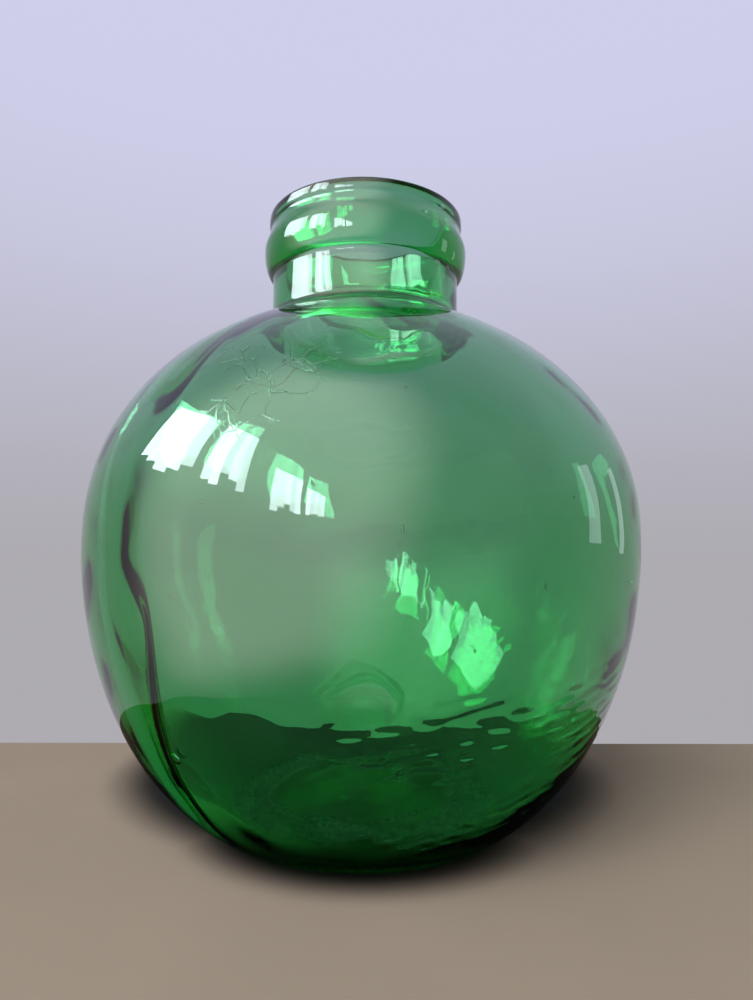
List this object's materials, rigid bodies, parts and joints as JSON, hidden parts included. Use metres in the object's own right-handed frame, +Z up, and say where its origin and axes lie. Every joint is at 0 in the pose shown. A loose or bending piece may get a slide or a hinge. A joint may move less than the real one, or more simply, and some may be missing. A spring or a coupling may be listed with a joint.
{
  "type": "glass carboy",
  "caption": "Round-bodied green glass carboy with a short wide neck, a heavy bead under a rounded lip, and a flat foot round a pushed-up base.",
  "frame": {"origin": "centre of the foot, on the surface that the carboy stands on", "axes": "+Z up along the axis of the vessel; the vessel is round, so X and Y are free"},
  "size_m": [0.3498, 0.3498, 0.398],
  "materials": {
    "green_glass": "clear mid-green glass, fire-polished, with slight waves and seeds"
  },
  "bodies": {
    "root": {"push_up": "green_glass", "bearing_ring": "green_glass", "heel": "green_glass", "lower_body": "green_glass", "belly": "green_glass", "upper_body": "green_glass", "shoulder": "green_glass", "neck": "green_glass", "transfer_bead": "green_glass", "collar": "green_glass", "sealing_lip": "green_glass"}
  },
  "joints": []
}
